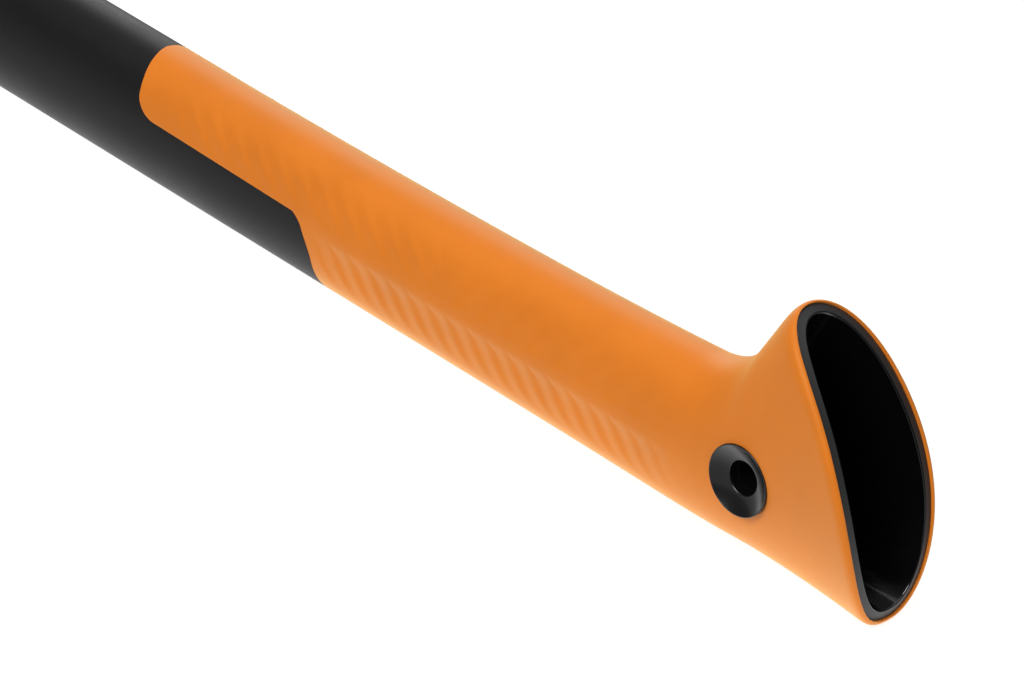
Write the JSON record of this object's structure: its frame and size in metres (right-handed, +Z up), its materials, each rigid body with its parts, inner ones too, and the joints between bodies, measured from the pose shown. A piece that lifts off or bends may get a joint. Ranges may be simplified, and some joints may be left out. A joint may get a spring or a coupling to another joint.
{
  "type": "felling axe",
  "caption": "Felling axe with a forged head moulded into a hollow black handle, an orange soft grip that flares to a hooked butt, and an eyelet for a lanyard.",
  "frame": {"origin": "on the surface that the axe rests on, under the middle of its box: poll face and back of the butt both touch Z = 0", "axes": "+X along the handle towards the butt, +Z up from the poll to the cutting edge, Y across the handle, which is symmetric about Y = 0 apart from the eyelet's two halves"},
  "size_m": [0.7096, 0.0334, 0.176],
  "materials": {
    "forged_steel": "dark low-friction coating, ground bright bevel and poll",
    "black_nylon": "fine matte moulded texture",
    "orange_rubber": "soft-touch elastomer, satin, with moulded grip ribs",
    "eyelet_plastic": "glossy black"
  },
  "bodies": {
    "root": {"axe_head": "forged_steel", "handle_shell": "black_nylon", "soft_grip": "orange_rubber", "eyelet_socket": "eyelet_plastic", "eyelet_plug": "eyelet_plastic"}
  },
  "joints": []
}
